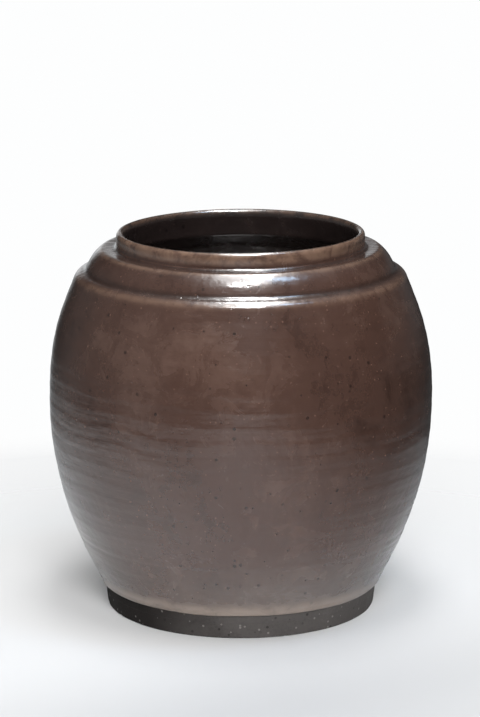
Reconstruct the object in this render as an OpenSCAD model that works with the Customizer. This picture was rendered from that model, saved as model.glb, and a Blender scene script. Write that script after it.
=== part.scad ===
// Onggi jar: a squat, wide-mouthed storage jar of coil-built stoneware.
// Axis of the jar is Z, the foot stands on z = 0, the origin is the foot's centre.
//
// The pieces are the clay members that the jar is luted together from, bottom
// to top: a base slab, a seam coil pressed into its inside corner, five wall
// coils, a shoulder coil, a collar coil and a lip coil. Each coil sits on a
// scarf joint, high on the outside and low on the inside, as the coil below is
// pinched up before the next one is laid. Two glaze coats cover them: one
// outside, from the glaze line above the foot to the crown of the lip, and one
// inside, from the crown down the wall and across the floor. The foot's band
// and underside are bare clay.

/* [Body] */
// Height of the jar, foot to lip
jar_h = 200; // [196:1:215]
// Radius of the flat foot that stands on the table
foot_r = 71; // [68:0.5:72]
// Radius where the glaze starts, at the top of the foot's band
heel_r = 72.8; // [72:0.2:76]
// Height of the bare, knife-trimmed band round the foot
bevel_h = 12; // [10:0.5:14]
// Largest outside radius, at the belly
belly_r = 100.8; // [98:0.2:106]
// Height of the largest radius
belly_z = 112; // [108:1:115]
// Radius of the shoulder's corner, below the collar
shoulder_r = 87.4; // [85:0.2:89]

/* [Mouth] */
// Clear radius inside the glazed neck
mouth_r = 60.9; // [59:0.1:61]
// Outside radius of the upright lip
lip_r = 64.9; // [64.6:0.1:65.4]
// Width of the flat ledge round the lip, where a lid's skirt sits
lid_seat_w = 6.2; // [5:0.1:6.6]
// Height of the lip above that ledge
lip_h = 8.6; // [8:0.1:10]

/* [Clay and glaze] */
// Wall thickness at the foot
wall_foot = 8; // [7:0.5:9]
// Wall thickness from the belly up
wall_top = 5.8; // [5:0.2:6.5]
// Thickness of the floor
floor_t = 8; // [7:0.5:8.5]
// Thickness of each glaze coat
glaze_t = 0.4; // [0.3:0.1:0.6]
// How much lower each coil joint is on the inside than on the outside
scarf = 6; // [4:1:7]

/* [Hidden] */
$fn = 96;

clay_raw   = [0.47, 0.31, 0.24];
clay_core  = [0.42, 0.30, 0.25];
glaze_out  = [0.25, 0.15, 0.12];
glaze_in   = [0.16, 0.10, 0.09];

g = glaze_t;
// Levels that hang from the lip
z_seat   = jar_h - lip_h;                  // the lid's ledge, on the glaze
z_corner = z_seat - 16.4;                  // corner of the shoulder, below the collar

// ---- curves ------------------------------------------------------------
function bez(p, t) =
    pow(1 - t, 3) * p[0] + 3 * pow(1 - t, 2) * t * p[1]
    + 3 * (1 - t) * t * t * p[2] + pow(t, 3) * p[3];
// heel up to the belly
low_curve = [[heel_r, bevel_h], [heel_r + 15, bevel_h + 26],
             [belly_r, belly_z - 41], [belly_r, belly_z]];
// belly up to the shoulder's corner
high_curve = [[belly_r, belly_z], [belly_r, belly_z + 34],
              [shoulder_r + 4.9, z_corner - 13], [shoulder_r, z_corner]];
// [z, r] table of the glazed outside, heel to shoulder
outside = concat([for (i = [0:40]) let (q = bez(low_curve, i / 40)) [q[1], q[0]]],
                 [for (i = [1:40]) let (q = bez(high_curve, i / 40)) [q[1], q[0]]]);
function skin_r(z) = lookup(z, outside);
// wall thickness across the radius
wall_table = [[0, wall_foot], [60, wall_top + 0.3], [belly_z, wall_top], [jar_h, wall_top]];
function wall(z) = lookup(z, wall_table);

function out_pt(z) = [skin_r(z) - g, z];            // clay outside, under the glaze
function in_pt(z)  = [skin_r(z) - g - wall(z), z];  // clay inside, under the glaze
function up(a, b, n)   = [for (i = [0:n]) a + (b - a) * i / n];
function down(a, b, n) = [for (i = [0:n]) b + (a - b) * i / n];
function rev(p) = [for (i = [len(p) - 1:-1:0]) p[i]];

// Heights of the joints on the outside, base slab to collar
joint = [floor_t, 36, 62, 88, 114, 140, z_corner];
n_seg = 6;
function joint_in(i) = i == 0 ? floor_t : joint[i] - scarf;

// ---- the upper outside, corner to crown, on the glaze --------------------
// slope of the shoulder, small ledge, sloping collar, lid's ledge, upright lip
seat_r = lip_r + 1.4 + lid_seat_w;         // outer edge of the lid's ledge
collar_skin = [
    [shoulder_r, z_corner],
    [shoulder_r - 0.7, z_corner + 1.6],
    [shoulder_r - 1.8, z_corner + 3.0],
    [shoulder_r - 3.5, z_corner + 4.2],
    [shoulder_r - 5.4, z_corner + 5.0],
    [shoulder_r - 6.5, z_corner + 5.9],
    [seat_r + 7.4, z_seat - 8.6],
    [seat_r + 5.6, z_seat - 5.4],
    [seat_r + 3.4, z_seat - 2.6],
    [seat_r + 1.5, z_seat - 0.9],
    [seat_r, z_seat]
];
lip_skin = [
    [lip_r + 1.4, z_seat],
    [lip_r + 0.5, z_seat + 0.5],
    [lip_r + 0.1, z_seat + 1.3],
    [lip_r, z_seat + 2.4],
    [lip_r, jar_h - 2.0],
    [lip_r - 0.3, jar_h - 1.1],
    [lip_r - 0.8, jar_h - 0.4],
    [lip_r - 1.6, jar_h]
];
// Outward normal of a path that climbs, and the path moved by d along it
function unit(v) = v / norm(v);
function nrm(a, b) = let (d = unit(b - a)) [d[1], -d[0]];
function shift(p, d) = [for (i = [0:len(p) - 1])
    let (n1 = nrm(p[max(i - 1, 0)], p[max(i - 1, 0) + 1]),
         n2 = nrm(p[min(i, len(p) - 2)], p[min(i, len(p) - 2) + 1]),
         n = unit(n1 + n2))
    p[i] + n * d / (n * n1)];
top_skin = concat(collar_skin, lip_skin);
n_collar = len(collar_skin);
// the coat runs thin over the crown, so the clay lip under it leans out a little
top_clay = concat([out_pt(z_corner)],
                  let (q = shift(top_skin, -g), h = shift(top_skin, -0.7 * g))
                  [for (i = [1:len(q) - 1]) i > n_collar + 3 ? h[i] : q[i]]);
collar_clay = [for (i = [0:n_collar]) top_clay[i]];   // ends at the root of the lip
lip_clay = [for (i = [n_collar:len(top_clay) - 1]) top_clay[i]];

// ---- the upper inside, clay ----------------------------------------------
z_in_top = z_corner - scarf;               // where the shoulder coil ends inside
neck_r = mouth_r + g;                      // clay radius of the neck's bore
z_neck = z_seat - 4.6;                     // foot of the straight neck
z_crown_in = jar_h - 3.0;                  // top of the straight neck
collar_in = [
    in_pt(z_in_top),
    in_pt(z_in_top) + [-2.6, 4.6],
    in_pt(z_in_top) + [-6.6, 9.0],
    [neck_r + 8.4, z_neck - 5.6],
    [neck_r + 3.4, z_neck - 2.9],
    [neck_r + 0.9, z_neck - 1.2],
    [neck_r, z_neck]
];
crown_in = [
    [neck_r, z_crown_in],
    [neck_r + 0.35, jar_h - g - 1.3],
    [neck_r + 0.9, jar_h - g - 0.4]
];

// ---- the foot and floor ----------------------------------------------------
function band_r(z) = foot_r + (heel_r - g - foot_r) * (z - 1.3) / (bevel_h - 1.3);
slab_r = band_r(floor_t);
seam_w = 9;                                  // seam coil's leg along the floor
seam_h = 10;                                 // and up the wall
function wall_in_low(z) = in_pt(max(z, bevel_h))[0] - (z < bevel_h ? (bevel_h - z) * 0.3 : 0);

module ring(p) { rotate_extrude() polygon(p); }

// Round disc of clay that everything stands on, its edge trimmed with a knife
module base_slab() {
    color(clay_raw)
    ring([[0, 0], [foot_r - 1.2, 0], [foot_r - 0.3, 0.4], [foot_r, 1.3], [slab_r, floor_t], [0, floor_t]]);
}

// Thin coil smeared into the inside corner between the slab and the wall
seam_face = [
    [wall_in_low(floor_t) - seam_w, floor_t],
    [wall_in_low(floor_t) - seam_w * 0.55, floor_t + 1.2],
    [wall_in_low(floor_t + 4) - 2.9, floor_t + 3.6],
    [wall_in_low(floor_t + 7) - 0.9, floor_t + 6.8],
    [wall_in_low(floor_t + seam_h), floor_t + seam_h]
];
seam_back = [for (z = down(floor_t, floor_t + seam_h, 4)) [wall_in_low(z), z]];
module base_seam_coil() {
    color(clay_core)
    ring(concat(seam_face, [for (i = [1:len(seam_back) - 1]) seam_back[i]]));
}

// One coil of the wall, from joint i to joint i + 1
module wall_coil(i) {
    lower = i == 0;
    outer = lower
        ? concat([[slab_r, floor_t], [heel_r - g, bevel_h]],
                 [for (z = up(bevel_h, joint[1], n_seg)) if (z > bevel_h) out_pt(z)])
        : [for (z = up(joint[i], joint[i + 1], n_seg)) out_pt(z)];
    inner = lower
        ? concat([for (z = down(floor_t + seam_h, joint_in(1), n_seg)) in_pt(z)],
                 [for (k = [1:len(seam_back) - 1]) seam_back[k]])
        : [for (z = down(joint_in(i), joint_in(i + 1), n_seg)) in_pt(z)];
    color(i == 0 ? clay_raw : clay_core) ring(concat(outer, inner));
}
module wall_coil_1() { wall_coil(0); }
module wall_coil_2() { wall_coil(1); }
module wall_coil_3() { wall_coil(2); }
module wall_coil_4() { wall_coil(3); }
module wall_coil_5() { wall_coil(4); }
// Coil that turns the wall in, up to the shoulder's corner
module shoulder_coil() { wall_coil(5); }

// Stepped collar: small ledge, slope and the flat ledge that takes a lid
module collar_coil() {
    color(clay_core) ring(concat(collar_clay, rev(collar_in)));
}

// Upright lip with its rounded crown
module lip_coil() {
    color(clay_core) ring(concat(lip_clay, rev(crown_in), [[neck_r, z_neck]]));
}

// Glaze outside: heel to crown, with a thicker roll at the glaze line
wall_levels = concat([for (z = up(bevel_h, joint[1], n_seg)) z],
    [for (i = [1:5]) for (k = [1:n_seg]) joint[i] + (joint[i + 1] - joint[i]) * k / n_seg]);
module outside_glaze() {
    under = concat([for (z = wall_levels) out_pt(z)], [for (i = [1:len(top_clay) - 1]) top_clay[i]]);
    over = concat([[heel_r + 0.15, bevel_h + 0.15], [skin_r(bevel_h + 1) + 0.25, bevel_h + 1]],
                  [for (z = wall_levels) if (z > bevel_h + 1) [skin_r(z), z]],
                  [for (i = [1:len(top_skin) - 1]) top_skin[i]]);
    color(glaze_out) ring(concat(over, rev(under)));
}

// Glaze inside: crown, straight neck, wall, seam and floor
in_levels = concat([for (z = up(floor_t + seam_h, joint_in(1), n_seg)) z],
    [for (i = [1:5]) for (k = [1:n_seg]) joint_in(i) + (joint_in(i + 1) - joint_in(i)) * k / n_seg]);
in_clay = concat([[0, floor_t]], seam_face,
                 [for (k = [1:len(in_levels) - 1]) in_pt(in_levels[k])],
                 [for (k = [1:len(collar_in) - 1]) collar_in[k]], crown_in);
module inside_glaze() {
    faced = shift(in_clay, -g);
    n = len(in_clay);
    face = concat([[0, floor_t + g]], [for (i = [1:n - 2]) faced[i]],
                  [[lip_r - 1.6 - 1.1, jar_h - 0.25], [lip_r - 1.6, jar_h]]);
    color(glaze_in) ring(concat(in_clay, [top_clay[len(top_clay) - 1]], rev(face)));
}

base_slab();
base_seam_coil();
wall_coil_1();
wall_coil_2();
wall_coil_3();
wall_coil_4();
wall_coil_5();
shoulder_coil();
collar_coil();
lip_coil();
outside_glaze();
inside_glaze();
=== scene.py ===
import math

import bmesh
import bpy
import numpy as np
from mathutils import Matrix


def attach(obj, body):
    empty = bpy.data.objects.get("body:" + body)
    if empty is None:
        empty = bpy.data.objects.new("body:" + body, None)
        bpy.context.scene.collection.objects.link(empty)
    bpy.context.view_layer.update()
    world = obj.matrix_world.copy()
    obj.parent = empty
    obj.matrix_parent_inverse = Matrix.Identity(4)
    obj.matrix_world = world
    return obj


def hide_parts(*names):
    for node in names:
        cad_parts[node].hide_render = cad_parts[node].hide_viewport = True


# Onggi jar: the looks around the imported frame. Lengths in the profile code are
# millimetres, as in the construction; meshes are written in metres.
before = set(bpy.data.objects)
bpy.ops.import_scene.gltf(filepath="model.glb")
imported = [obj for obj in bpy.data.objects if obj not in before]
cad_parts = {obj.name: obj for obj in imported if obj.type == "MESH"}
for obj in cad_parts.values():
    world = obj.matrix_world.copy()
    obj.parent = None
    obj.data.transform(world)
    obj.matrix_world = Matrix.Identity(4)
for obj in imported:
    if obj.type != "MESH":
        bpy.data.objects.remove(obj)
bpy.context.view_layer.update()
MM = 0.001

# ---------------------------------------------------------------- camera
cam_data = bpy.data.cameras.new("camera")
cam_data.lens = 144.15
cam_data.sensor_width = 36.0
cam_data.sensor_fit = "AUTO"
cam_data.clip_start, cam_data.clip_end = 0.05, 60
camera = bpy.data.objects.new("camera", cam_data)
bpy.context.scene.collection.objects.link(camera)
camera.location = (-0.00035, -1.4717, 0.4641)
aim = (-0.00035, 0.0, 0.1310)
d = [a - b for a, b in zip(aim, camera.location)]
camera.rotation_euler = (math.atan2(math.hypot(d[0], d[1]), -d[2]), 0.0, math.atan2(-d[0], d[1]))
bpy.context.scene.camera = camera

# ---------------------------------------------------------------- profile, in mm
G = 0.4                                   # glaze coat
JAR_H, FOOT_R, HEEL_R, BAND_H = 200.0, 71.0, 72.8, 12.0
BELLY_R, BELLY_Z, SHOULDER_R = 100.8, 112.0, 87.4
MOUTH_R, LIP_R, SEAT_W, LIP_H = 60.9, 64.9, 6.2, 8.6
WALL_FOOT, WALL_TOP, FLOOR_T, SCARF = 8.0, 5.8, 8.0, 6.0
Z_SEAT = JAR_H - LIP_H
Z_CORNER = Z_SEAT - 16.4
SEAT_R = LIP_R + 1.4 + SEAT_W
NECK_R = MOUTH_R + G


def bez(p, t):
    p = np.asarray(p, float)
    t = np.asarray(t, float)[:, None]
    return (1 - t) ** 3 * p[0] + 3 * (1 - t) ** 2 * t * p[1] + 3 * (1 - t) * t * t * p[2] + t**3 * p[3]


LOW = bez([[HEEL_R, BAND_H], [HEEL_R + 15, BAND_H + 26], [BELLY_R, BELLY_Z - 41], [BELLY_R, BELLY_Z]], np.linspace(0, 1, 61))
HIGH = bez([[BELLY_R, BELLY_Z], [BELLY_R, BELLY_Z + 34], [SHOULDER_R + 4.9, Z_CORNER - 13], [SHOULDER_R, Z_CORNER]], np.linspace(0, 1, 61))
SKIN = np.concatenate([LOW, HIGH[1:]])


def skin_r(z):
    return np.interp(z, SKIN[:, 1], SKIN[:, 0])


def wall(z):
    return np.interp(z, [0, 60, BELLY_Z, JAR_H], [WALL_FOOT, WALL_TOP + 0.3, WALL_TOP, WALL_TOP])


def in_r(z):
    return skin_r(z) - G - wall(z)


COLLAR = [
    (SHOULDER_R, Z_CORNER), (SHOULDER_R - 0.7, Z_CORNER + 1.6), (SHOULDER_R - 1.8, Z_CORNER + 3.0),
    (SHOULDER_R - 3.5, Z_CORNER + 4.2), (SHOULDER_R - 5.4, Z_CORNER + 5.0), (SHOULDER_R - 6.5, Z_CORNER + 5.9),
    (SEAT_R + 7.4, Z_SEAT - 8.6), (SEAT_R + 5.6, Z_SEAT - 5.4), (SEAT_R + 3.4, Z_SEAT - 2.6),
    (SEAT_R + 1.5, Z_SEAT - 0.9), (SEAT_R, Z_SEAT),
]
LIP = [
    (LIP_R + 1.4, Z_SEAT), (LIP_R + 0.5, Z_SEAT + 0.5), (LIP_R + 0.1, Z_SEAT + 1.3), (LIP_R, Z_SEAT + 2.4),
    (LIP_R, JAR_H - 2.0), (LIP_R - 0.3, JAR_H - 1.1), (LIP_R - 0.8, JAR_H - 0.4), (LIP_R - 1.6, JAR_H),
]
Z_NECK, Z_CROWN_IN = Z_SEAT - 4.6, JAR_H - 3.0
Z_IN_TOP = Z_CORNER - SCARF
Q = (in_r(Z_IN_TOP), Z_IN_TOP)
COLLAR_IN = [
    Q, (Q[0] - 2.6, Q[1] + 4.6), (Q[0] - 6.6, Q[1] + 9.0), (NECK_R + 8.4, Z_NECK - 5.6),
    (NECK_R + 3.4, Z_NECK - 2.9), (NECK_R + 0.9, Z_NECK - 1.2), (NECK_R, Z_NECK),
]
CROWN_IN = [(NECK_R, Z_CROWN_IN), (NECK_R + 0.35, JAR_H - G - 1.3), (NECK_R + 0.9, JAR_H - G - 0.4)]


def wall_in_low(z):
    z = float(z)
    return float(in_r(max(z, BAND_H))) - ((BAND_H - z) * 0.3 if z < BAND_H else 0.0)


SEAM = [
    (wall_in_low(FLOOR_T) - 9, FLOOR_T), (wall_in_low(FLOOR_T) - 9 * 0.55, FLOOR_T + 1.2),
    (wall_in_low(FLOOR_T + 4) - 2.9, FLOOR_T + 3.6), (wall_in_low(FLOOR_T + 7) - 0.9, FLOOR_T + 6.8),
    (wall_in_low(FLOOR_T + 10), FLOOR_T + 10),
]


def spline(pts, step):
    """Centripetal Catmull-Rom curve through pts, sampled about every step mm."""
    p = np.asarray(pts, float)
    p = np.vstack([2 * p[0] - p[1], p, 2 * p[-1] - p[-2]])
    out = []
    for i in range(1, len(p) - 2):
        p0, p1, p2, p3 = p[i - 1 : i + 3]
        t0 = 0.0
        t1 = t0 + max(np.linalg.norm(p1 - p0), 1e-9) ** 0.5
        t2 = t1 + max(np.linalg.norm(p2 - p1), 1e-9) ** 0.5
        t3 = t2 + max(np.linalg.norm(p3 - p2), 1e-9) ** 0.5
        n = max(2, int(math.ceil(np.linalg.norm(p2 - p1) / step)))
        t = np.linspace(t1, t2, n, endpoint=False)[:, None]
        a1 = (t1 - t) / (t1 - t0) * p0 + (t - t0) / (t1 - t0) * p1
        a2 = (t2 - t) / (t2 - t1) * p1 + (t - t1) / (t2 - t1) * p2
        a3 = (t3 - t) / (t3 - t2) * p2 + (t - t2) / (t3 - t2) * p3
        b1 = (t2 - t) / (t2 - t0) * a1 + (t - t0) / (t2 - t0) * a2
        b2 = (t3 - t) / (t3 - t1) * a2 + (t - t1) / (t3 - t1) * a3
        out.append((t2 - t) / (t2 - t1) * b1 + (t - t1) / (t2 - t1) * b2)
    out.append(p[-2][None])
    return np.vstack(out)


def resample(p, step_of):
    """The path with a point about every step_of(z) mm."""
    seg = np.linalg.norm(np.diff(p, axis=0), axis=1)
    mid = (p[1:] + p[:-1]) / 2
    cost = np.concatenate([[0], np.cumsum(seg / step_of(mid[:, 1]))])
    n = int(math.ceil(cost[-1]))
    s = np.linspace(0, cost[-1], n + 1)
    return np.stack([np.interp(s, cost, p[:, 0]), np.interp(s, cost, p[:, 1])], 1)


def normals(p):
    """Unit normal on the right of a path."""
    d = np.gradient(p, axis=0)
    d /= np.linalg.norm(d, axis=1)[:, None]
    return np.stack([d[:, 1], -d[:, 0]], 1)


def smooth(a, b, x):
    t = np.clip((np.asarray(x, float) - a) / (b - a), 0, 1)
    return t * t * (3 - 2 * t)


def bump(x, c, w):
    return np.exp(-(((np.asarray(x, float) - c) / w) ** 2))


class Waves:
    """Smooth repeatable noise in space: a sum of plane waves with wavelengths round size, in mm."""

    def __init__(self, seed, size, n=22, spread=1.7, squash=1.0):
        rng = np.random.RandomState(seed)
        d = rng.normal(size=(n, 3))
        d /= np.linalg.norm(d, axis=1)[:, None]
        lam = size * spread ** rng.uniform(-1, 1, n)
        self.k = d * (2 * math.pi / lam)[:, None]
        self.k[:, 2] *= squash
        self.ph = rng.uniform(0, 2 * math.pi, n)
        self.a = 1 / math.sqrt(n / 2)

    def __call__(self, x, y, z):
        s = np.zeros(np.broadcast(x, y, z).shape)
        for k, ph in zip(self.k, self.ph):
            s += np.sin(k[0] * x + k[1] * y + k[2] * z + ph)
        return s * self.a / 1.4


# ---------------------------------------------------------------- hand-made unevenness
def warp(r, th, z):
    """Where a point of the true body of revolution lies on the jar as thrown, in mm: a little out of round,
    and the collar and lip a little out of level. The foot and everything under 12 mm stay true."""
    u = smooth(14, 95, z)
    v = smooth(140, 192, z)
    dr = u * (0.20 * np.cos(2 * th + 0.7) + 0.12 * np.cos(3 * th - 1.0) - 0.32)
    dr += v * 0.16 * np.cos(th - 2.4)
    dz = -0.55 * v * (1 - np.cos(th - math.radians(48)))
    dz -= 0.10 * v * (1 + np.sin(3 * th + 0.4))
    return r + dr, z + dz


WOBBLE = Waves(11, 46, spread=1.5)
DIMPLE = Waves(12, 17, spread=1.4)
PHASE = Waves(13, 60)
RIPPLE = Waves(14, 5.5, spread=1.5)


def relief_out(r, th, z):
    """Height of the glazed outside over the true surface, in mm: paddled planes, coil swell, throwing rings."""
    x, y = r * np.cos(th), r * np.sin(th)
    body = smooth(16, 30, z) * (1 - smooth(170, 176, z))
    ph = 0.9 * PHASE(x, y, z)
    turn = th / (2 * math.pi)
    h = body * 0.085 * WOBBLE(x, y, z)
    h = h + body * 0.035 * DIMPLE(x, y, z)
    h = h + body * 0.045 * np.sin(2 * math.pi * (z / 9.4 + turn) + ph)
    h = h + (0.35 + 0.65 * body) * 0.022 * np.sin(2 * math.pi * (z / 4.1 + 2 * turn) + 1.7 * ph)
    h = h + 0.006 * RIPPLE(x, y, z)
    # two shallow wheel lines low on the wall
    for c, w, a in ((39.5, 0.8, -0.17), (44.0, 1.1, -0.12)):
        h = h + a * bump(z + 0.35 * np.sin(th + 0.6) + 0.12 * ph, c, w)
    return np.clip(h, -0.24, 0.45)


def relief_in(r, th, z):
    x, y = r * np.cos(th), r * np.sin(th)
    body = smooth(12, 26, z) * (1 - smooth(180, 186, z))
    ph = 1.1 * PHASE(x + 40, y, z)
    turn = th / (2 * math.pi)
    h = body * 0.10 * WOBBLE(x, y + 30, z) + body * 0.05 * DIMPLE(x, y, z + 50)
    h = h + body * 0.13 * np.sin(2 * math.pi * (z / 8.3 + turn) + ph)
    h = h + body * 0.03 * np.sin(2 * math.pi * (z / 3.7 + 3 * turn) + 1.5 * ph)
    h = h + 0.006 * RIPPLE(x, y, z)
    return np.clip(h, -0.24, 0.45)


# ---------------------------------------------------------------- meshes
def add_mesh(name, verts, faces, attrs=None):
    me = bpy.data.meshes.new(name)
    me.from_pydata([], [], [])
    n_v = len(verts)
    me.vertices.add(n_v)
    me.vertices.foreach_set("co", (np.asarray(verts, float) * MM).astype(np.float32).ravel())
    loops = np.concatenate([np.asarray(f, np.int32).ravel() for f in faces])
    sizes = np.concatenate([np.full(len(f), np.asarray(f).shape[1], np.int32) for f in faces])
    starts = np.concatenate([[0], np.cumsum(sizes)[:-1]]).astype(np.int32)
    me.loops.add(len(loops))
    me.loops.foreach_set("vertex_index", loops)
    me.polygons.add(len(sizes))
    me.polygons.foreach_set("loop_start", starts)
    me.polygons.foreach_set("loop_total", sizes)
    me.update(calc_edges=True)
    me.validate()
    me.polygons.foreach_set("use_smooth", np.ones(len(me.polygons), bool))
    for key, val in (attrs or {}).items():
        at = me.attributes.new(key, "FLOAT", "POINT")
        at.data.foreach_set("value", np.asarray(val, np.float32).ravel())
    ob = bpy.data.objects.new(name, me)
    bpy.context.scene.collection.objects.link(ob)
    return ob


def ring_grid(n_p, n_t):
    """Quads of a closed ring: n_p points round the section, n_t round the axis."""
    i = np.arange(n_p)[:, None]
    j = np.arange(n_t)[None]
    i2, j2 = (i + 1) % n_p, (j + 1) % n_t
    return np.stack([i * n_t + j, i * n_t + j2, i2 * n_t + j2, i2 * n_t + j], -1).reshape(-1, 4)


def to_xyz(r, th, z):
    return np.stack([r * np.cos(th), r * np.sin(th), z], -1).reshape(-1, 3)


N_T = 512
TH = (np.arange(N_T) * 2 * math.pi / N_T)[None]


# outside glaze: the section runs up the outside, over the crown, and back down against the clay
def outside_glaze():
    z_edge = 12.0 + 0.55 * np.sin(TH + 0.9) + 0.35 * np.sin(2 * TH - 0.4) + 0.2 * np.sin(5 * TH + 2.0) \
        + 0.12 * np.sin(11 * TH) + 0.45
    path = np.vstack([np.stack([skin_r(np.linspace(13, Z_CORNER - 0.5, 260)), np.linspace(13, Z_CORNER - 0.5, 260)], 1),
                      spline(COLLAR + LIP, 0.25)])
    path = resample(path, lambda z: np.where(z < 17, 0.35, np.where(z > 172, 0.40, 0.95)))
    nrm = normals(path)
    r0, z0 = path[:, :1], path[:, 1:]
    # the lowest 1 to 2 mm slide with the glaze line
    low = 1 - smooth(13, 20, z0)
    z_base = z0 + low * (z_edge - 13.0)
    r_base = np.where(low > 0, skin_r(z_base), r0)
    h = relief_out(r_base, TH, z_base)
    # rolled bead at the glaze line, thinning to nothing at its lowest point, then a thinner wiped zone
    s = z_base - z_edge
    bead = 0.55 * bump(s, 1.5, 1.1) + 0.22 * bump(s, 4.2, 1.6) - 0.05 * bump(s, 9, 3)
    bead = bead * (0.8 + 0.35 * np.sin(3 * TH + 1) * np.sin(7 * TH))
    h = h * smooth(1, 5, s) + bead
    h = np.where(s < 0.9, -G + (G + h) * np.sqrt(np.clip(1 - (1 - np.clip(s, 0, 0.9) / 0.9) ** 2, 0, 1)), h)
    # softer over the crown, so both coats meet there
    crown = smooth(JAR_H - 1.5, JAR_H, z0) * (r0 < LIP_R + 0.3)
    h = h * (1 - crown)
    r_o = r_base + nrm[:, :1] * h
    z_o = z_base + nrm[:, 1:] * h
    # clay side of the coat, coarser
    back = path[::6][::-1]
    bn = nrm[::6][::-1]
    rb, zb = back[:, :1] - bn[:, :1] * G * 0.98, back[:, 1:] - bn[:, 1:] * G * 0.98
    lowb = 1 - smooth(13, 20, back[:, 1:])
    zb = zb + lowb * (z_edge - 13.0)
    rb = np.where(lowb > 0, skin_r(zb) - G * 0.98, rb)
    r_all = np.vstack([r_o, rb + 0 * TH])
    z_all = np.vstack([z_o, zb + 0 * TH])
    th = np.broadcast_to(TH, r_all.shape)
    rw, zw = warp(r_all, th, z_all)
    zw = np.minimum(zw, JAR_H)
    # attributes: where the coat is thin over an edge, and height over the glaze line
    n_o, n_b = len(path), len(back)
    edge = np.zeros((n_o + n_b, N_T))
    zz, rr = z0, r0
    e = smooth(Z_SEAT + 1.5, Z_SEAT + 4.5, zz) * (0.75 + 0.25 * smooth(JAR_H - 3, JAR_H - 0.5, zz)) * (rr < LIP_R + 0.4)
    e = e + 0.75 * bump(np.hypot(rr - SEAT_R - 0.8, zz - Z_SEAT + 0.5), 0, 1.5)
    e = e + 0.55 * bump(np.hypot(rr - SHOULDER_R + 1.6, zz - Z_CORNER - 2.8), 0, 2.2)
    edge[:n_o] = np.clip(e, 0, 1)
    line = np.zeros((n_o + n_b, N_T))
    line[:n_o] = np.clip(bump(s, 0.2, 1.0) + 0.75 * bump(s, 3.6, 3.0), 0, 1)
    pool = np.zeros((n_o + n_b, N_T))
    p = bump(np.hypot(rr - SHOULDER_R + 6.3, zz - Z_CORNER - 5.6), 0, 2.0) + bump(np.hypot(rr - LIP_R - 1.2, zz - Z_SEAT - 0.6), 0, 1.6)
    pool[:n_o] = np.clip(p, 0, 1) + 0 * TH
    return add_mesh("glaze_coat_outside", to_xyz(rw, th, zw), [ring_grid(n_o + n_b, N_T)],
                    {"edge": edge, "line": line, "pool": pool})


# inside glaze: from the middle of the floor, up the wall to the crown, and back along the clay
def inside_glaze():
    floor = [(r, FLOOR_T) for r in np.linspace(2.0, SEAM[0][0] - 1.0, 14)]
    zs = np.linspace(FLOOR_T + 10.8, Z_IN_TOP - 0.8, 220)
    clay = np.vstack([spline(floor + SEAM, 0.9), np.stack([in_r(zs), zs], 1),
                      spline(COLLAR_IN, 0.4), spline([COLLAR_IN[-1], (NECK_R, (Z_NECK + Z_CROWN_IN) / 2)] + CROWN_IN
                                                     + [(LIP_R - 1.65, JAR_H - G * 0.7)], 0.3)[1:]])
    clay = resample(clay, lambda z: np.where(z > 180, 0.45, np.where(z < 9, 1.6, 1.05)))
    nrm = -normals(clay)
    r0, z0 = clay[:, :1], clay[:, 1:]
    h = G + relief_in(np.broadcast_to(r0, (len(clay), N_T)), TH, z0)
    crown = smooth(JAR_H - 2.6, JAR_H - 0.6, z0)
    h = h * (1 - crown) + G * crown
    # floor: a shallow wheel spiral round the middle
    fl = (z0 < FLOOR_T + 0.05) * smooth(2, 14, r0)
    h = h + fl * 0.10 * np.sin(2 * math.pi * (r0 / 6.5 - TH / (2 * math.pi)))
    r_f = r0 + nrm[:, :1] * h
    z_f = z0 + nrm[:, 1:] * h
    back = clay[::6][::-1] if (len(clay) - 1) % 6 == 0 else np.vstack([clay[-1:], clay[::6][::-1]])
    bi = np.array([len(clay) - 1] + list(range(0, len(clay), 6))[::-1]) if (len(clay) - 1) % 6 else np.array(list(range(0, len(clay), 6))[::-1])
    back, bn = clay[bi], nrm[bi]
    rb, zb = back[:, :1] + bn[:, :1] * 0.01, back[:, 1:] + bn[:, 1:] * 0.01
    r_all = np.vstack([r_f, rb + 0 * TH])
    z_all = np.vstack([z_f, zb + 0 * TH])
    th = np.broadcast_to(TH, r_all.shape)
    rw, zw = warp(r_all, th, z_all)
    zw = np.minimum(zw, JAR_H)
    n = len(r_all)
    verts = to_xyz(rw, th, zw)
    # the strip that would close the ring through the axis becomes two fans, to a pole on each face
    quads = ring_grid(n, N_T).reshape(n, N_T, 4)[: n - 1].reshape(-1, 4)
    poles = np.array([[0, 0, FLOOR_T + G], [0, 0, FLOOR_T + 0.01]])
    verts = np.vstack([verts, poles])
    j = np.arange(N_T)
    j2 = (j + 1) % N_T
    top = np.stack([j, np.full(N_T, len(verts) - 2), j2], 1)
    last = (n - 1) * N_T
    bot = np.stack([last + j, last + j2, np.full(N_T, len(verts) - 1)], 1)
    n_f = len(clay)
    edge = np.zeros((n, N_T))
    edge[:n_f] = np.clip(bump(z0, JAR_H - 0.3, 1.4), 0, 1) + 0 * TH
    zero = np.zeros((n, N_T))
    tail = np.zeros(2)
    at = {"edge": np.concatenate([edge.ravel(), tail]), "line": np.concatenate([zero.ravel(), tail]),
          "pool": np.concatenate([zero.ravel(), tail])}
    return add_mesh("glaze_coat_inside", verts, [quads[:, ::-1], top[:, ::-1], bot[:, ::-1]], at)


# clay of the foot: trimmed with a knife in long facets, a little chipped at the bottom edge
CHIP = Waves(31, 9, spread=1.6)
KNIFE = Waves(32, 26, spread=1.3, squash=0.5)


def band_r(z):
    return FOOT_R + (HEEL_R - G - FOOT_R) * (np.asarray(z, float) - 1.3) / (BAND_H - 1.3)


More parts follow.
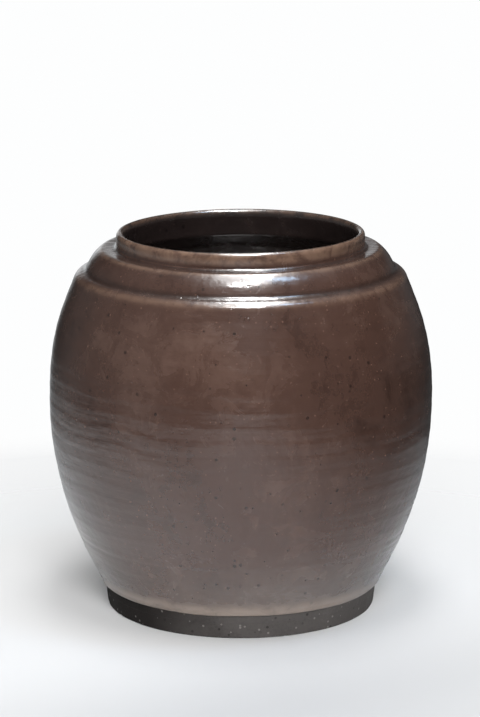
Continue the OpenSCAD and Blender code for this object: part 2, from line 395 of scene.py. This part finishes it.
def foot_relief(r, th, z):
    """Inward only, so that the foot stays in its outline."""
    x, y = r * np.cos(th), r * np.sin(th)
    cut = 0.5 * (1 + np.cos(23 * th + 0.8 * np.sin(2 * th) + 0.11 * z)) * (0.55 + 0.45 * np.sin(4 * th + 1.0))
    h = 0.10 * cut + 0.06 * (1 + KNIFE(x, y, z)) + 0.02 * (1 + RIPPLE(x, y, z))
    chips = np.clip(CHIP(x, y, 0 * z) - 1.05, 0, 1) * (1 - smooth(0.2, 2.4, z))
    h = h + 0.9 * chips
    return -np.clip(h, 0, 0.9)


def foot_slab():
    n_t = 384
    th = (np.arange(n_t) * 2 * math.pi / n_t)[None]
    under = np.array([(r, 0.0) for r in np.linspace(1.5, FOOT_R - 2.0, 35)])
    edge = spline([(FOOT_R - 2.0, 0), (FOOT_R - 1.2, 0.0), (FOOT_R - 0.3, 0.4), (FOOT_R, 1.3), (float(band_r(4.5)), 4.5), (float(band_r(FLOOR_T)), FLOOR_T)], 0.35)[1:]
    top = np.array([(r, FLOOR_T) for r in np.linspace(float(band_r(FLOOR_T)) - 2.5, 3, 12)])
    path = np.vstack([under, edge, top])
    r0, z0 = path[:, :1], path[:, 1:]
    n_u, n_e = len(under), len(edge)
    side = np.zeros((len(path), 1))
    side[n_u : n_u + n_e] = 1
    side[n_u - 1] = 0.5
    h = foot_relief(np.broadcast_to(r0, (len(path), n_t)), th, z0) * side
    r = r0 + h
    z = z0 + 0 * th
    # underside: cut from the wheel with a wire, so curved drag lines, all at or above the table
    x, y = r * np.cos(th), r * np.sin(th)
    d = np.hypot(x + 38, y - 150)
    lines = 0.5 * (1 + np.sin(2 * math.pi * d / 4.3 + 0.7 * KNIFE(x, y, 0 * x))) * (0.6 + 0.4 * np.sin(2 * math.pi * d / 13.7))
    lift = np.zeros((len(path), 1))
    lift[:n_u] = smooth(0, 1, (FOOT_R - 1.6 - under[:, :1]) / 6)
    z = np.maximum(z + lift * (0.16 * np.clip(lines, 0, 1) * smooth(1, 12, r0) + 0.05), 0.0)
    verts = np.vstack([to_xyz(r, np.broadcast_to(th, r.shape), z), [[0, 0, 0.05], [0, 0, FLOOR_T]]])
    n = len(path)
    quads = ring_grid(n, n_t).reshape(n, n_t, 4)[: n - 1].reshape(-1, 4)
    j = np.arange(n_t)
    j2 = (j + 1) % n_t
    bot = np.stack([j, j2, np.full(n_t, len(verts) - 2)], 1)[:, ::-1]
    last = (n - 1) * n_t
    top_f = np.stack([last + j, last + j2, np.full(n_t, len(verts) - 1)], 1)
    return add_mesh("foot_slab", verts, [quads, bot, top_f])


def first_coil():
    n_t = 384
    th = (np.arange(n_t) * 2 * math.pi / n_t)[None]
    band = np.array([(float(band_r(z)), z) for z in np.linspace(FLOOR_T, BAND_H, 12)])
    zs = np.linspace(BAND_H + 0.6, 36, 34)
    out = np.stack([skin_r(zs) - G, zs], 1)
    zi = np.linspace(36 - SCARF, FLOOR_T + 10, 20)
    inn = np.stack([in_r(zi), zi], 1)
    low = np.array([(wall_in_low(z), z) for z in (15.5, 13.0, 10.5, FLOOR_T)])
    path = np.vstack([band, out, inn, low])
    r0, z0 = path[:, :1], path[:, 1:]
    side = np.zeros((len(path), 1))
    side[: len(band)] = 1
    side[len(band) : len(band) + 3] = np.array([[0.8], [0.45], [0.15]])
    h = foot_relief(np.broadcast_to(r0, (len(path), n_t)), th, z0) * side
    r, z = warp(r0 + h, np.broadcast_to(th, h.shape), z0 + 0 * th)
    verts = to_xyz(r, np.broadcast_to(th, r.shape), z)
    return add_mesh("foot_band_coil", verts, [ring_grid(len(path), n_t)])


# ---------------------------------------------------------------- materials
class Tree:
    """Small helper for writing node trees."""

    def __init__(self, name):
        self.mat = bpy.data.materials.new(name)
        self.mat.use_nodes = True
        self.nt = self.mat.node_tree
        self.nt.nodes.clear()
        self.out = self.nt.nodes.new("ShaderNodeOutputMaterial")

    def n(self, kind, **kw):
        node = self.nt.nodes.new(kind)
        for k, v in kw.items():
            setattr(node, k, v)
        return node

    def link(self, a, b):
        self.nt.links.new(a, b)

    def put(self, socket, v):
        if isinstance(v, bpy.types.NodeSocket):
            self.link(v, socket)
        else:
            socket.default_value = v

    def math(self, op, a, b=0.5, c=0.5, clamp=False):
        m = self.n("ShaderNodeMath", operation=op, use_clamp=clamp)
        for s, v in zip(m.inputs, (a, b, c)):
            self.put(s, v)
        return m.outputs[0]

    def mix(self, f, a, b, kind="MIX"):
        m = self.n("ShaderNodeMix", data_type="RGBA", blend_type=kind, clamp_factor=True)
        self.put(m.inputs["Factor"], f)
        self.put(m.inputs[6], a if isinstance(a, bpy.types.NodeSocket) else (*a, 1))
        self.put(m.inputs[7], b if isinstance(b, bpy.types.NodeSocket) else (*b, 1))
        return m.outputs[2]

    def ramp(self, f, stops, kind="EASE"):
        r = self.n("ShaderNodeValToRGB")
        r.color_ramp.interpolation = kind
        el = r.color_ramp.elements
        while len(el) > 1:
            el.remove(el[-1])
        el[0].position = stops[0][0]
        for pos, _ in stops[1:]:
            el.new(pos)
        for e, (pos, col) in zip(el, stops):
            e.position = pos
            e.color = (*col, 1) if len(col) == 3 else col
        self.put(r.inputs[0], f)
        return r.outputs[0]

    def fade(self, f, lo, hi):
        """0 at lo, 1 at hi, smooth between."""
        m = self.n("ShaderNodeMapRange", interpolation_type="SMOOTHSTEP")
        self.put(m.inputs[0], f)
        m.inputs[1].default_value, m.inputs[2].default_value = lo, hi
        m.inputs[3].default_value, m.inputs[4].default_value = 0, 1
        return m.outputs[0]

    def noise(self, vec, scale, detail=4, rough=0.55, dist=0.0):
        m = self.n("ShaderNodeTexNoise")
        self.put(m.inputs["Vector"], vec)
        m.inputs["Scale"].default_value = scale
        m.inputs["Detail"].default_value = detail
        m.inputs["Roughness"].default_value = rough
        m.inputs["Distortion"].default_value = dist
        return m.outputs["Fac"]

    def voronoi(self, vec, scale, feature="F1", rand=1.0):
        m = self.n("ShaderNodeTexVoronoi", feature=feature)
        self.put(m.inputs["Vector"], vec)
        m.inputs["Scale"].default_value = scale
        m.inputs["Randomness"].default_value = rand
        return m

    def attr(self, name):
        return self.n("ShaderNodeAttribute", attribute_name=name).outputs["Fac"]

    def scaled(self, vec, v):
        m = self.n("ShaderNodeVectorMath", operation="MULTIPLY")
        self.put(m.inputs[0], vec)
        m.inputs[1].default_value = v
        return m.outputs[0]

    def bump(self, height, dist, strength=1.0, normal=None):
        b = self.n("ShaderNodeBump")
        self.put(b.inputs["Height"], height)
        b.inputs["Distance"].default_value = dist
        b.inputs["Strength"].default_value = strength
        if normal is not None:
            self.link(normal, b.inputs["Normal"])
        return b.outputs["Normal"]


def glaze_material(name, dark, mid, light, broken, seed=0.0, painted_floor_reflection=None):
    t = Tree(name)
    coord = t.n("ShaderNodeTexCoord").outputs["Object"]
    shift = t.n("ShaderNodeVectorMath", operation="ADD")
    t.link(coord, shift.inputs[0])
    shift.inputs[1].default_value = (seed, seed * 0.7, seed * 1.3)
    p = shift.outputs[0]
    cloud = t.noise(p, 13, 5, 0.55, 0.6)
    mottle = t.noise(p, 60, 6, 0.62, 0.9)
    runs = t.noise(t.scaled(p, (1, 1, 0.13)), 95, 4, 0.6, 0.35)
    fine = t.noise(p, 420, 4, 0.65)
    f = t.math("MULTIPLY_ADD", cloud, 0.9, t.math("MULTIPLY_ADD", mottle, 0.55, t.math("MULTIPLY_ADD", runs, 0.35, t.math("MULTIPLY", fine, 0.25))))
    f = t.math("SUBTRACT", f, 0.52)
    col = t.ramp(f, [(0.22, dark), (0.50, mid), (0.80, light)])
    if painted_floor_reflection:
        # painted reflection of the pale floor: greyer low on the wall, and kept off the left side, which is in shade
        at = t.n("ShaderNodeSeparateXYZ")
        t.link(coord, at.inputs[0])
        low = t.math("SUBTRACT", 1.0, t.fade(t.math("MULTIPLY_ADD", cloud, -0.03, at.outputs[2]), 0.004, 0.036))
        low = t.math("MULTIPLY", low, t.fade(t.math("MULTIPLY_ADD", cloud, 0.03, at.outputs[0]), -0.050, 0.025))
        col = t.mix(t.math("MULTIPLY", low, t.math("MULTIPLY_ADD", mottle, 0.8, 0.15)), col, painted_floor_reflection)
    # iron specks, and pale ash flecks
    v1 = t.voronoi(p, 330)
    pick = t.n("ShaderNodeSeparateColor")
    t.link(v1.outputs["Color"], pick.inputs[0])
    rare = t.fade(pick.outputs[0], 0.80, 0.95)
    size = t.math("MULTIPLY", pick.outputs[1], 0.34)
    speck = t.math("MULTIPLY", t.math("LESS_THAN", v1.outputs["Distance"], size), rare)
    col = t.mix(t.math("MULTIPLY", speck, 0.75), col, tuple(c * 0.35 for c in dark))
    v2 = t.voronoi(p, 520)
    pick2 = t.n("ShaderNodeSeparateColor")
    t.link(v2.outputs["Color"], pick2.inputs[0])
    fleck = t.math("MULTIPLY", t.math("LESS_THAN", v2.outputs["Distance"], 0.22), t.fade(pick2.outputs[2], 0.86, 0.97))
    col = t.mix(t.math("MULTIPLY", fleck, 0.45), col, tuple(min(1, c * 2.4) for c in light))
    # thin over edges: the clay's red shows; pooled in grooves: darker; wiped at the glaze line: pale and dry
    edge, line, pool = t.attr("edge"), t.attr("line"), t.attr("pool")
    e = t.math("MULTIPLY", edge, t.fade(t.noise(p, 150, 4, 0.6, 0.5), 0.25, 0.62), clamp=True)
    col = t.mix(t.math("MULTIPLY", e, 0.85), col, broken)
    col = t.mix(t.math("MULTIPLY", pool, 0.7), col, tuple(c * 0.55 for c in dark))
    ln = t.math("MULTIPLY", line, t.fade(t.noise(p, 90, 5, 0.65, 0.7), 0.10, 0.55), clamp=True)
    col = t.mix(t.math("MULTIPLY", ln, 0.9), col, (0.34, 0.27, 0.22))
    # gloss varies a little with the melt
    rough = t.n("ShaderNodeMapRange")
    t.put(rough.inputs[0], t.math("MULTIPLY_ADD", mottle, 0.6, t.math("MULTIPLY", cloud, 0.4)))
    rough.inputs[1].default_value, rough.inputs[2].default_value = 0.3, 0.7
    rough.inputs[3].default_value, rough.inputs[4].default_value = 0.19, 0.32
    r = t.math("MULTIPLY_ADD", ln, 0.16, rough.outputs[0])
    # skin of the melt: orange peel, pinholes, faint wheel lines
    peel = t.noise(p, 230, 3, 0.5)
    hole = t.voronoi(p, 240)
    pk = t.n("ShaderNodeSeparateColor")
    t.link(hole.outputs["Color"], pk.inputs[0])
    pit = t.math("MULTIPLY", t.math("SUBTRACT", 1.0, t.fade(hole.outputs["Distance"], 0.02, 0.16)), t.fade(pk.outputs[0], 0.90, 0.96))
    wheel = t.noise(t.scaled(p, (0.05, 0.05, 1)), 900, 3, 0.6)
    nrm = t.bump(wheel, 0.00006)
    nrm = t.bump(peel, 0.00018, 1.0, nrm)
    nrm = t.bump(t.math("SUBTRACT", 1.0, pit), 0.00022, 1.0, nrm)
    b = t.n("ShaderNodeBsdfPrincipled")
    t.link(col, b.inputs["Base Color"])
    t.link(r, b.inputs["Roughness"])
    t.link(nrm, b.inputs["Normal"])
    b.inputs["IOR"].default_value = 1.6
    b.inputs["Coat Weight"].default_value = 0.8
    b.inputs["Coat Roughness"].default_value = 0.12
    b.inputs["Coat IOR"].default_value = 1.6
    t.link(nrm, b.inputs["Coat Normal"])
    t.link(b.outputs[0], t.out.inputs[0])
    return t.mat


def clay_material(name, dark, mid, light, grit=1.0, painted_left_shade=None):
    t = Tree(name)
    p = t.n("ShaderNodeTexCoord").outputs["Object"]
    cloud = t.noise(p, 22, 5, 0.6, 0.4)
    grain = t.noise(p, 700, 4, 0.7)
    body = t.math("MULTIPLY_ADD", cloud, 0.75, t.math("MULTIPLY", grain, 0.35))
    col = t.ramp(body, [(0.32, dark), (0.54, mid), (0.78, light)])
    if painted_left_shade:
        # painted shade: the left side of the foot is darkened, as it lies in shadow
        at = t.n("ShaderNodeSeparateXYZ")
        t.link(p, at.inputs[0])
        side = t.fade(t.math("MULTIPLY_ADD", cloud, 0.04, at.outputs[0]), -0.035, 0.015)
        col = t.mix(t.math("SUBTRACT", 1.0, side), col, painted_left_shade)
    v = t.voronoi(p, 420)
    pk = t.n("ShaderNodeSeparateColor")
    t.link(v.outputs["Color"], pk.inputs[0])
    sand = t.math("MULTIPLY", t.math("LESS_THAN", v.outputs["Distance"], 0.25), t.fade(pk.outputs[0], 0.80, 0.9))
    col = t.mix(t.math("MULTIPLY", sand, 0.6), col, tuple(min(1, c * 1.9) for c in light))
    v3 = t.voronoi(p, 300)
    pk3 = t.n("ShaderNodeSeparateColor")
    t.link(v3.outputs["Color"], pk3.inputs[0])
    iron = t.math("MULTIPLY", t.math("LESS_THAN", v3.outputs["Distance"], 0.22), t.fade(pk3.outputs[1], 0.84, 0.94))
    col = t.mix(t.math("MULTIPLY", iron, 0.8), col, tuple(c * 0.35 for c in dark))
    h = t.math("MULTIPLY_ADD", sand, 0.8, t.math("ADD", grain, t.math("MULTIPLY", t.noise(p, 160, 5, 0.7), 1.4)))
    nrm = t.bump(h, 0.00016 * grit)
    b = t.n("ShaderNodeBsdfPrincipled")
    t.link(col, b.inputs["Base Color"])
    t.link(nrm, b.inputs["Normal"])
    rr = t.n("ShaderNodeMapRange")
    t.put(rr.inputs[0], grain)
    rr.inputs[3].default_value, rr.inputs[4].default_value = 0.72, 0.92
    t.link(rr.outputs[0], b.inputs["Roughness"])
    b.inputs["IOR"].default_value = 1.45
    b.inputs["Specular IOR Level"].default_value = 0.35
    t.link(b.outputs[0], t.out.inputs[0])
    return t.mat


# the outside glaze carries a painted floor reflection low on the wall
mat_out = glaze_material("glaze_outside", (0.034, 0.0150, 0.0100), (0.066, 0.0325, 0.0230), (0.106, 0.0590, 0.0435), (0.230, 0.140, 0.095), painted_floor_reflection=(0.150, 0.122, 0.106))
# painted shade: the inside coat is the same glaze in far darker colours, standing in for the shade inside the jar
mat_in_painted_shade = glaze_material("glaze_inside", (0.007, 0.0048, 0.0046), (0.015, 0.0100, 0.0092), (0.032, 0.0220, 0.0190), (0.130, 0.075, 0.050), seed=0.7)
# the foot's clay is darker and greyer than the body clay: partly its own fired colour, partly painted shade of the
# contact shadow under the belly
mat_bare_clay_and_shade = clay_material("bare_clay", (0.048, 0.043, 0.041), (0.088, 0.080, 0.076), (0.150, 0.138, 0.130), painted_left_shade=(0.016, 0.013, 0.012))
mat_clay = clay_material("body_clay", (0.070, 0.038, 0.026), (0.120, 0.072, 0.050), (0.180, 0.120, 0.088), grit=0.7)

# ---------------------------------------------------------------- pieces on the frame


def place(ob, mat, slot, *nodes):
    ob.data.materials.clear()
    ob.data.materials.append(mat)
    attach(ob, "root")
    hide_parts(*nodes)
    return ob


place(outside_glaze(), mat_out, "glaze_outside", "outside_glaze")
place(inside_glaze(), mat_in_painted_shade, "glaze_inside", "inside_glaze")
place(foot_slab(), mat_bare_clay_and_shade, "bare_clay", "base_slab")
place(first_coil(), mat_bare_clay_and_shade, "bare_clay", "wall_coil_1")


def warped_copy(node):
    """A clay member between the two coats, in the same hand-made unevenness as they are."""
    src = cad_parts[node].data
    me = src.copy()
    me.name = node + "_clay"
    me.materials.clear()
    co = np.zeros(len(me.vertices) * 3)
    me.vertices.foreach_get("co", co)
    co = co.reshape(-1, 3) / MM
    r, th = np.hypot(co[:, 0], co[:, 1]), np.arctan2(co[:, 1], co[:, 0])
    r2, z2 = warp(r, th, co[:, 2])
    co = np.stack([r2 * np.cos(th), r2 * np.sin(th), z2], 1) * MM
    me.vertices.foreach_set("co", co.astype(np.float32).ravel())
    me.update()
    bm = bmesh.new()
    bm.from_mesh(me)
    bmesh.ops.remove_doubles(bm, verts=bm.verts, dist=2e-6)
    bmesh.ops.dissolve_degenerate(bm, dist=1e-7, edges=bm.edges)
    bm.to_mesh(me)
    bm.free()
    ob = bpy.data.objects.new(node + "_clay", me)
    bpy.context.scene.collection.objects.link(ob)
    return ob


for node in ("base_seam_coil", "wall_coil_2", "wall_coil_3", "wall_coil_4", "wall_coil_5", "shoulder_coil", "collar_coil", "lip_coil"):
    place(warped_copy(node), mat_clay, "body_clay", node)

# ---------------------------------------------------------------- floor and light
floor_me = bpy.data.meshes.new("floor")
# a sheet 6 m across, open under the foot so that the underside can be seen from below
R_FLOOR, R_OPEN = 3.0, 0.0690
ang = np.arange(96) * 2 * math.pi / 96
fv = [(r * math.cos(a), r * math.sin(a), -0.00005) for r in (R_OPEN, 0.5, R_FLOOR) for a in ang]
floor_me.from_pydata(fv, [], [(96 * k + i, 96 * k + 96 + i, 96 * k + 96 + (i + 1) % 96, 96 * k + (i + 1) % 96) for k in (0, 1) for i in range(96)])
floor = bpy.data.objects.new("floor", floor_me)
bpy.context.scene.collection.objects.link(floor)
t = Tree("paper")
p = t.n("ShaderNodeTexCoord").outputs["Object"]
paper = t.n("ShaderNodeBsdfDiffuse")
sep = t.n("ShaderNodeSeparateXYZ")
t.link(p, sep.inputs[0])
# painted shade: the paper is greyer towards the front right, a soft shadow painted on the floor
painted_shade_lean = t.math("SUBTRACT", t.math("MULTIPLY", sep.outputs[0], 0.55), sep.outputs[1])
painted_shade_lean = t.math("ADD", painted_shade_lean, t.math("MULTIPLY", t.noise(p, 3, 2, 0.5), 0.04))
paper_painted_shade = t.mix(t.fade(painted_shade_lean, 0.05, 0.23), (0.92, 0.925, 0.93), (0.62, 0.625, 0.635))
t.link(paper_painted_shade, paper.inputs[0])
clear = t.n("ShaderNodeBsdfTransparent")
geo = t.n("ShaderNodeNewGeometry")
# the sheet melts into the pale background away from the jar, and from below it isn't there
rx = t.math("MAXIMUM", t.math("MULTIPLY", sep.outputs[0], -5.5), t.math("MULTIPLY", sep.outputs[0], 6.2))
ry = t.math("MAXIMUM", t.math("MULTIPLY", sep.outputs[1], -1.2), t.math("MULTIPLY", sep.outputs[1], 7.0))
r2 = t.math("ADD", t.math("MULTIPLY", rx, rx), t.math("MULTIPLY", ry, ry))
gone = t.math("MAXIMUM", geo.outputs["Backfacing"], t.math("DIVIDE", r2, t.math("ADD", r2, 1.0)))
gone = t.math("MAXIMUM", gone, t.fade(t.math("SQRT", r2), 1.0, 2.6))
mx = t.n("ShaderNodeMixShader")
t.link(gone, mx.inputs[0])
t.link(paper.outputs[0], mx.inputs[1])
t.link(clear.outputs[0], mx.inputs[2])
t.link(mx.outputs[0], t.out.inputs[0])
floor_me.materials.append(t.mat)


def area(name, loc, target, size, power, color=(1, 1, 1), size_y=None, glossy=True, diffuse=True):
    ld = bpy.data.lights.new(name, "AREA")
    ld.energy = power
    ld.color = color
    ld.shape = "RECTANGLE"
    ld.size = size
    ld.size_y = size_y or size
    ob = bpy.data.objects.new(name, ld)
    bpy.context.scene.collection.objects.link(ob)
    ob.location = loc
    v = [a - b for a, b in zip(target, loc)]
    ob.rotation_euler = (math.atan2(math.hypot(v[0], v[1]), -v[2]), 0, math.atan2(-v[0], v[1]))
    ob.visible_camera = False
    ob.visible_glossy = glossy
    ob.visible_diffuse = diffuse
    return ob


area("soft_top", (0.03, -0.17, 1.35), (0.03, -0.17, 0.0), 0.30, 7.4, size_y=0.80, glossy=False)
area("soft_key", (0.052, -0.20, 1.35), (0.052, -0.20, 0.0), 0.33, 60.0, size_y=1.04, diffuse=False)
area("soft_front", (0.14, -1.40, 0.80), (0.0, 0.0, 0.05), 0.60, 23.0, glossy=False)
area("soft_side", (0.40, -0.25, 1.25), (0.0, 0.0, 0.15), 0.24, 1.8, color=(0.50, 0.72, 1.0))

# room light: white for the camera; for everything else a dim room in front, brighter at the sides and behind
world = bpy.data.worlds.new("room")
bpy.context.scene.world = world
world.use_nodes = True
wt = world.node_tree
wt.nodes.clear()


def wn(kind, **kw):
    node = wt.nodes.new(kind)
    for k, v in kw.items():
        setattr(node, k, v)
    return node


w_out = wn("ShaderNodeOutputWorld")
w_tc = wn("ShaderNodeTexCoord")
w_sep = wn("ShaderNodeSeparateXYZ")
wt.links.new(w_tc.outputs["Generated"], w_sep.inputs[0])


def wmap(sock, lo, hi, a, b):
    m = wn("ShaderNodeMapRange", interpolation_type="SMOOTHSTEP")
    wt.links.new(sock, m.inputs[0])
    for i, v in enumerate((lo, hi, a, b)):
        m.inputs[i + 1].default_value = v
    return m.outputs[0]


def wmath(op, a, b, clamp=False):
    m = wn("ShaderNodeMath", operation=op, use_clamp=clamp)
    for s, v in zip(m.inputs, (a, b)):
        if isinstance(v, bpy.types.NodeSocket):
            wt.links.new(v, s)
        else:
            s.default_value = v
    return m.outputs[0]


w_x = wmath("DIVIDE", w_sep.outputs[0], wmath("MAXIMUM", w_sep.outputs[1], 0.02))
back = wmath("MULTIPLY", wmap(w_x, -0.42, -0.22, 0.0, 0.95), wmap(w_x, 0.0, 0.12, 1.0, 0.08))
back = wmath("MULTIPLY", back, wmap(w_sep.outputs[2], 0.02, 0.30, 1.0, 0.12))
back = wmath("MULTIPLY", back, wmap(w_sep.outputs[2], -0.16, 0.0, 0.25, 1.0))
back = wmath("MULTIPLY", back, wmath("GREATER_THAN", w_sep.outputs[1], 0.0))
room = wmath("ADD", wmap(w_sep.outputs[2], 0.3, 0.95, 0.0, 0.08), wmap(w_sep.outputs[1], -0.8, 0.3, 0.085, 0.03))
room = wmath("ADD", room, wmap(w_sep.outputs[0], -0.95, -0.5, 0.09, 0.0))
under = wmath("MULTIPLY", wmap(w_sep.outputs[2], -0.45, -0.12, 0.55, 0.0), wmap(w_sep.outputs[0], -0.30, 0.05, 1.0, 0.12))
under = wmath("ADD", under, wmap(w_sep.outputs[2], -0.98, -0.80, 2.2, 0.0))
val = wmath("ADD", wmath("MAXIMUM", back, room), under)
w_cam = wn("ShaderNodeBackground")
w_cam.inputs[0].default_value = (0.985, 0.99, 0.992, 1)
w_cam.inputs[1].default_value = 1.0
w_room = wn("ShaderNodeBackground")
w_room.inputs[0].default_value = (0.95, 0.98, 1.0, 1)
wt.links.new(val, w_room.inputs[1])
w_lp = wn("ShaderNodeLightPath")
w_mix = wn("ShaderNodeMixShader")
wt.links.new(w_lp.outputs["Is Camera Ray"], w_mix.inputs[0])
wt.links.new(w_room.outputs[0], w_mix.inputs[1])
wt.links.new(w_cam.outputs[0], w_mix.inputs[2])
wt.links.new(w_mix.outputs[0], w_out.inputs[0])

bpy.context.scene.view_settings.view_transform = "Standard"
bpy.context.scene.view_settings.look = "None"
